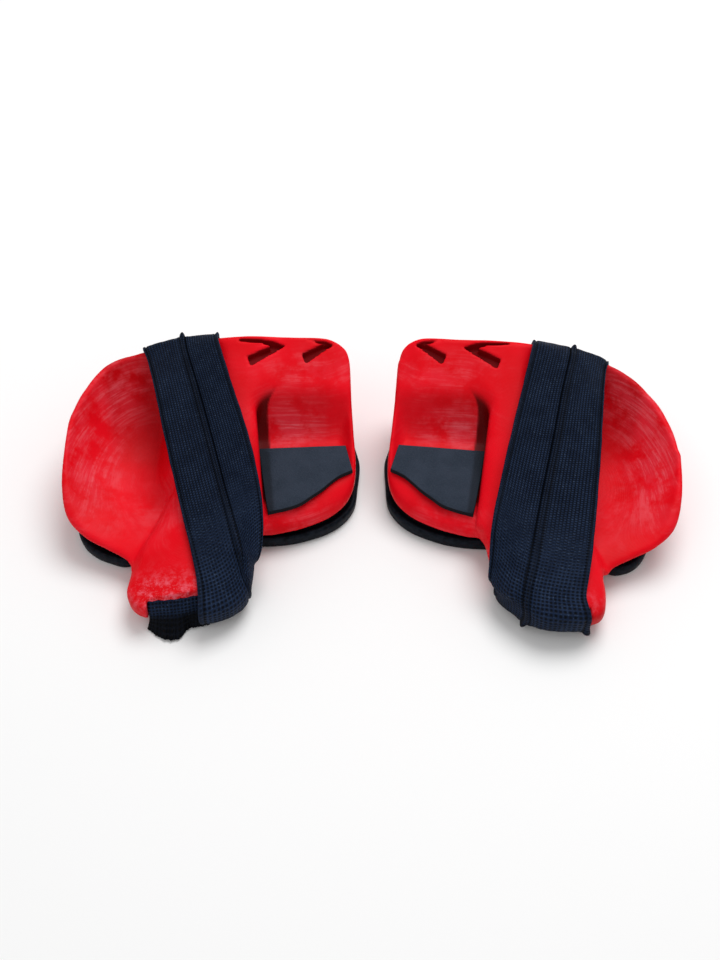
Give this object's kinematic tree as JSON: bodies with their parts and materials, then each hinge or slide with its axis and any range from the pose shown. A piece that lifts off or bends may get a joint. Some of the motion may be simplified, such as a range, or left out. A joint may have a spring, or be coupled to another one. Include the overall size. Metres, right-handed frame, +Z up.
{
  "type": "hand shield pair",
  "caption": "Mirrored pair of moulded hand shields with an open bowl, a finger bay, a padded floor, rubber facings and a wide elastic hand strap.",
  "frame": {"origin": "on the ground under the middle of the pair's bounding box", "axes": "+X from the left shield to the right one, +Y from the spouts to the far walls, +Z up"},
  "size_m": [0.31, 0.1521, 0.0642],
  "materials": {
    "shell_plastic": "satin printed plastic with fine layer lines and pale scuffs",
    "facing_rubber": "smooth black rubber with a worn edge",
    "pad_foam": "matte closed-cell foam",
    "strap_elastic": "ribbed navy-black woven elastic",
    "hook_tape": "black hook tape"
  },
  "bodies": {
    "left_shield": {"left_shell": "shell_plastic", "left_bay_facing": "facing_rubber", "left_bowl_facing": "facing_rubber", "left_foam_pad": "pad_foam", "left_hook_patch_far": "hook_tape", "left_hook_patch_under": "hook_tape", "left_strap_far_end": "strap_elastic", "left_strap_spout_end": "strap_elastic", "left_strap_tail": "strap_elastic"},
    "left_strap": {"left_strap_outer_band": "strap_elastic", "left_strap_inner_band": "strap_elastic", "left_strap_seam": "strap_elastic"},
    "right_shield": {"right_shell": "shell_plastic", "right_bay_facing": "facing_rubber", "right_bowl_facing": "facing_rubber", "right_foam_pad": "pad_foam", "right_hook_patch_far": "hook_tape", "right_hook_patch_under": "hook_tape", "right_strap_far_end": "strap_elastic", "right_strap_spout_end": "strap_elastic", "right_strap_tail": "strap_elastic"},
    "right_strap": {"right_strap_outer_band": "strap_elastic", "right_strap_inner_band": "strap_elastic", "right_strap_seam": "strap_elastic"}
  },
  "joints": [
    {"name": "left_strap_stretch", "type": "slide", "parent": "left_shield", "child": "left_strap", "axis": [-0.1614, -0.3306, 0.9299], "range_m": [0, 0.02], "stiffness_N_per_m": 300},
    {"name": "right_shield_lift", "type": "slide", "parent": "left_shield", "child": "right_shield", "axis": [0, 0, 1], "range_m": [0, 0.1]},
    {"name": "right_strap_stretch", "type": "slide", "parent": "right_shield", "child": "right_strap", "axis": [0.1381, -0.3049, 0.9423], "range_m": [0, 0.02], "stiffness_N_per_m": 300}
  ]
}
